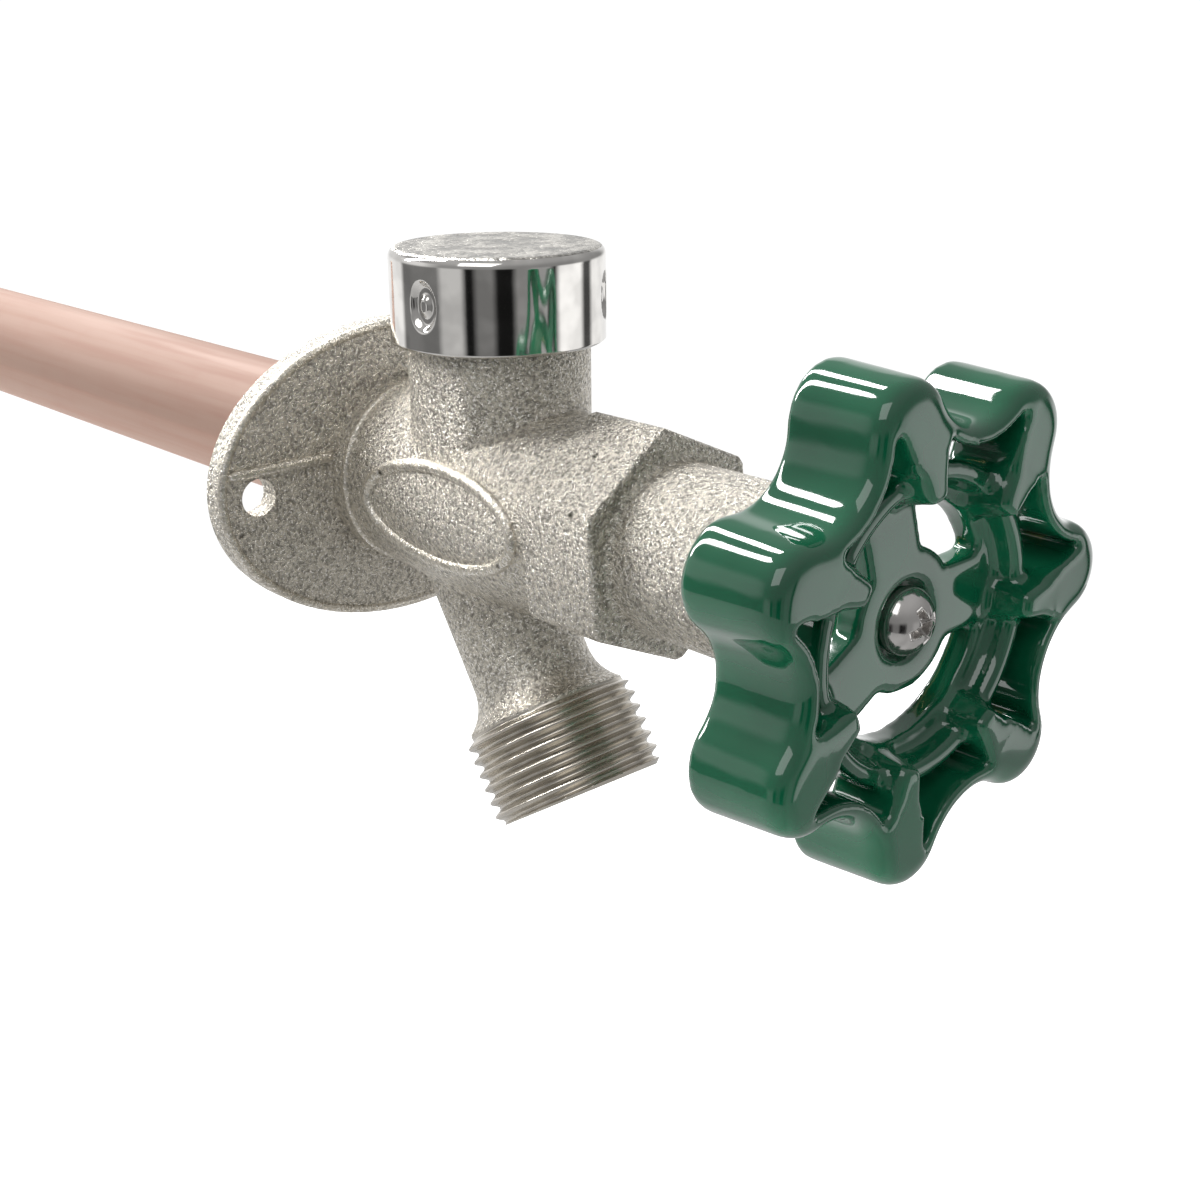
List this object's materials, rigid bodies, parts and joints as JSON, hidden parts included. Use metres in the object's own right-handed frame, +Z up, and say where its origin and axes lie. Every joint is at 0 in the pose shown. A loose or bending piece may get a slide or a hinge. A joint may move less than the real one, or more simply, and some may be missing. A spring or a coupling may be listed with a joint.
{
  "type": "frost free sillcock",
  "caption": "Wall-mounted frost free outdoor tap: cast body with oval flange, capped vacuum breaker, hose spout, lobed wheel handle and long copper tube to a rear seat.",
  "frame": {"origin": "on the tube's axis in the plane of the wall, which is the flange's back face, midway between the two screw holes", "axes": "+Y runs along the tube into the wall, -Y towards the handle; +Z is up, along the vacuum breaker's tower; X is level along the wall"},
  "size_m": [0.0684, 0.331, 0.088],
  "materials": {
    "cast_nickel": "rough sand-cast brass, nickel plated",
    "copper_tube": "drawn copper, dull with faint streaks",
    "machined_brass": "turned brass",
    "white_packing": "soft packing",
    "black_rubber": "moulded rubber",
    "plain_steel": "polished steel",
    "black_plastic": "moulded",
    "grey_plastic": "moulded",
    "chrome_cap": "polished sides, satin top",
    "green_enamel": "glossy dipped enamel over a casting"
  },
  "bodies": {
    "casing": {"valve_body": "cast_nickel", "supply_tube": "copper_tube", "inlet_fitting": "machined_brass", "packing_nut": "machined_brass", "packing_ring": "white_packing", "packing_washer": "machined_brass", "breaker_seat": "machined_brass", "vent_guide": "grey_plastic", "cap_gasket": "black_rubber", "vent_cap": "chrome_cap"},
    "washer_carriage": {"washer_holder": "machined_brass", "seat_washer": "black_rubber", "washer_screw": "plain_steel"},
    "stem": {"drive_screw": "machined_brass", "stem_o_ring": "black_rubber", "stem_rod": "machined_brass", "stem_pin": "plain_steel", "stem_guide": "black_plastic", "handle": "green_enamel", "lock_washer": "plain_steel", "handle_screw": "plain_steel"},
    "float": {"breaker_float": "grey_plastic", "float_seal": "black_rubber"}
  },
  "joints": [
    {"name": "stem_travel", "type": "slide", "parent": "casing", "child": "washer_carriage", "axis": [0, -1, 0], "range_m": [0, 0.004]},
    {"name": "handle_turn", "type": "hinge", "parent": "washer_carriage", "child": "stem", "pos_m": [0, 0, 0], "axis": [0, -1, 0], "range_deg": [0, 180]},
    {"name": "float_lift", "type": "slide", "parent": "casing", "child": "float", "axis": [0, 0, 1], "range_m": [0, 0.0032]}
  ],
  "couplings": [
    {"joint": "stem_travel", "follows": "handle_turn", "m_per_rad": 0.0012732}
  ]
}
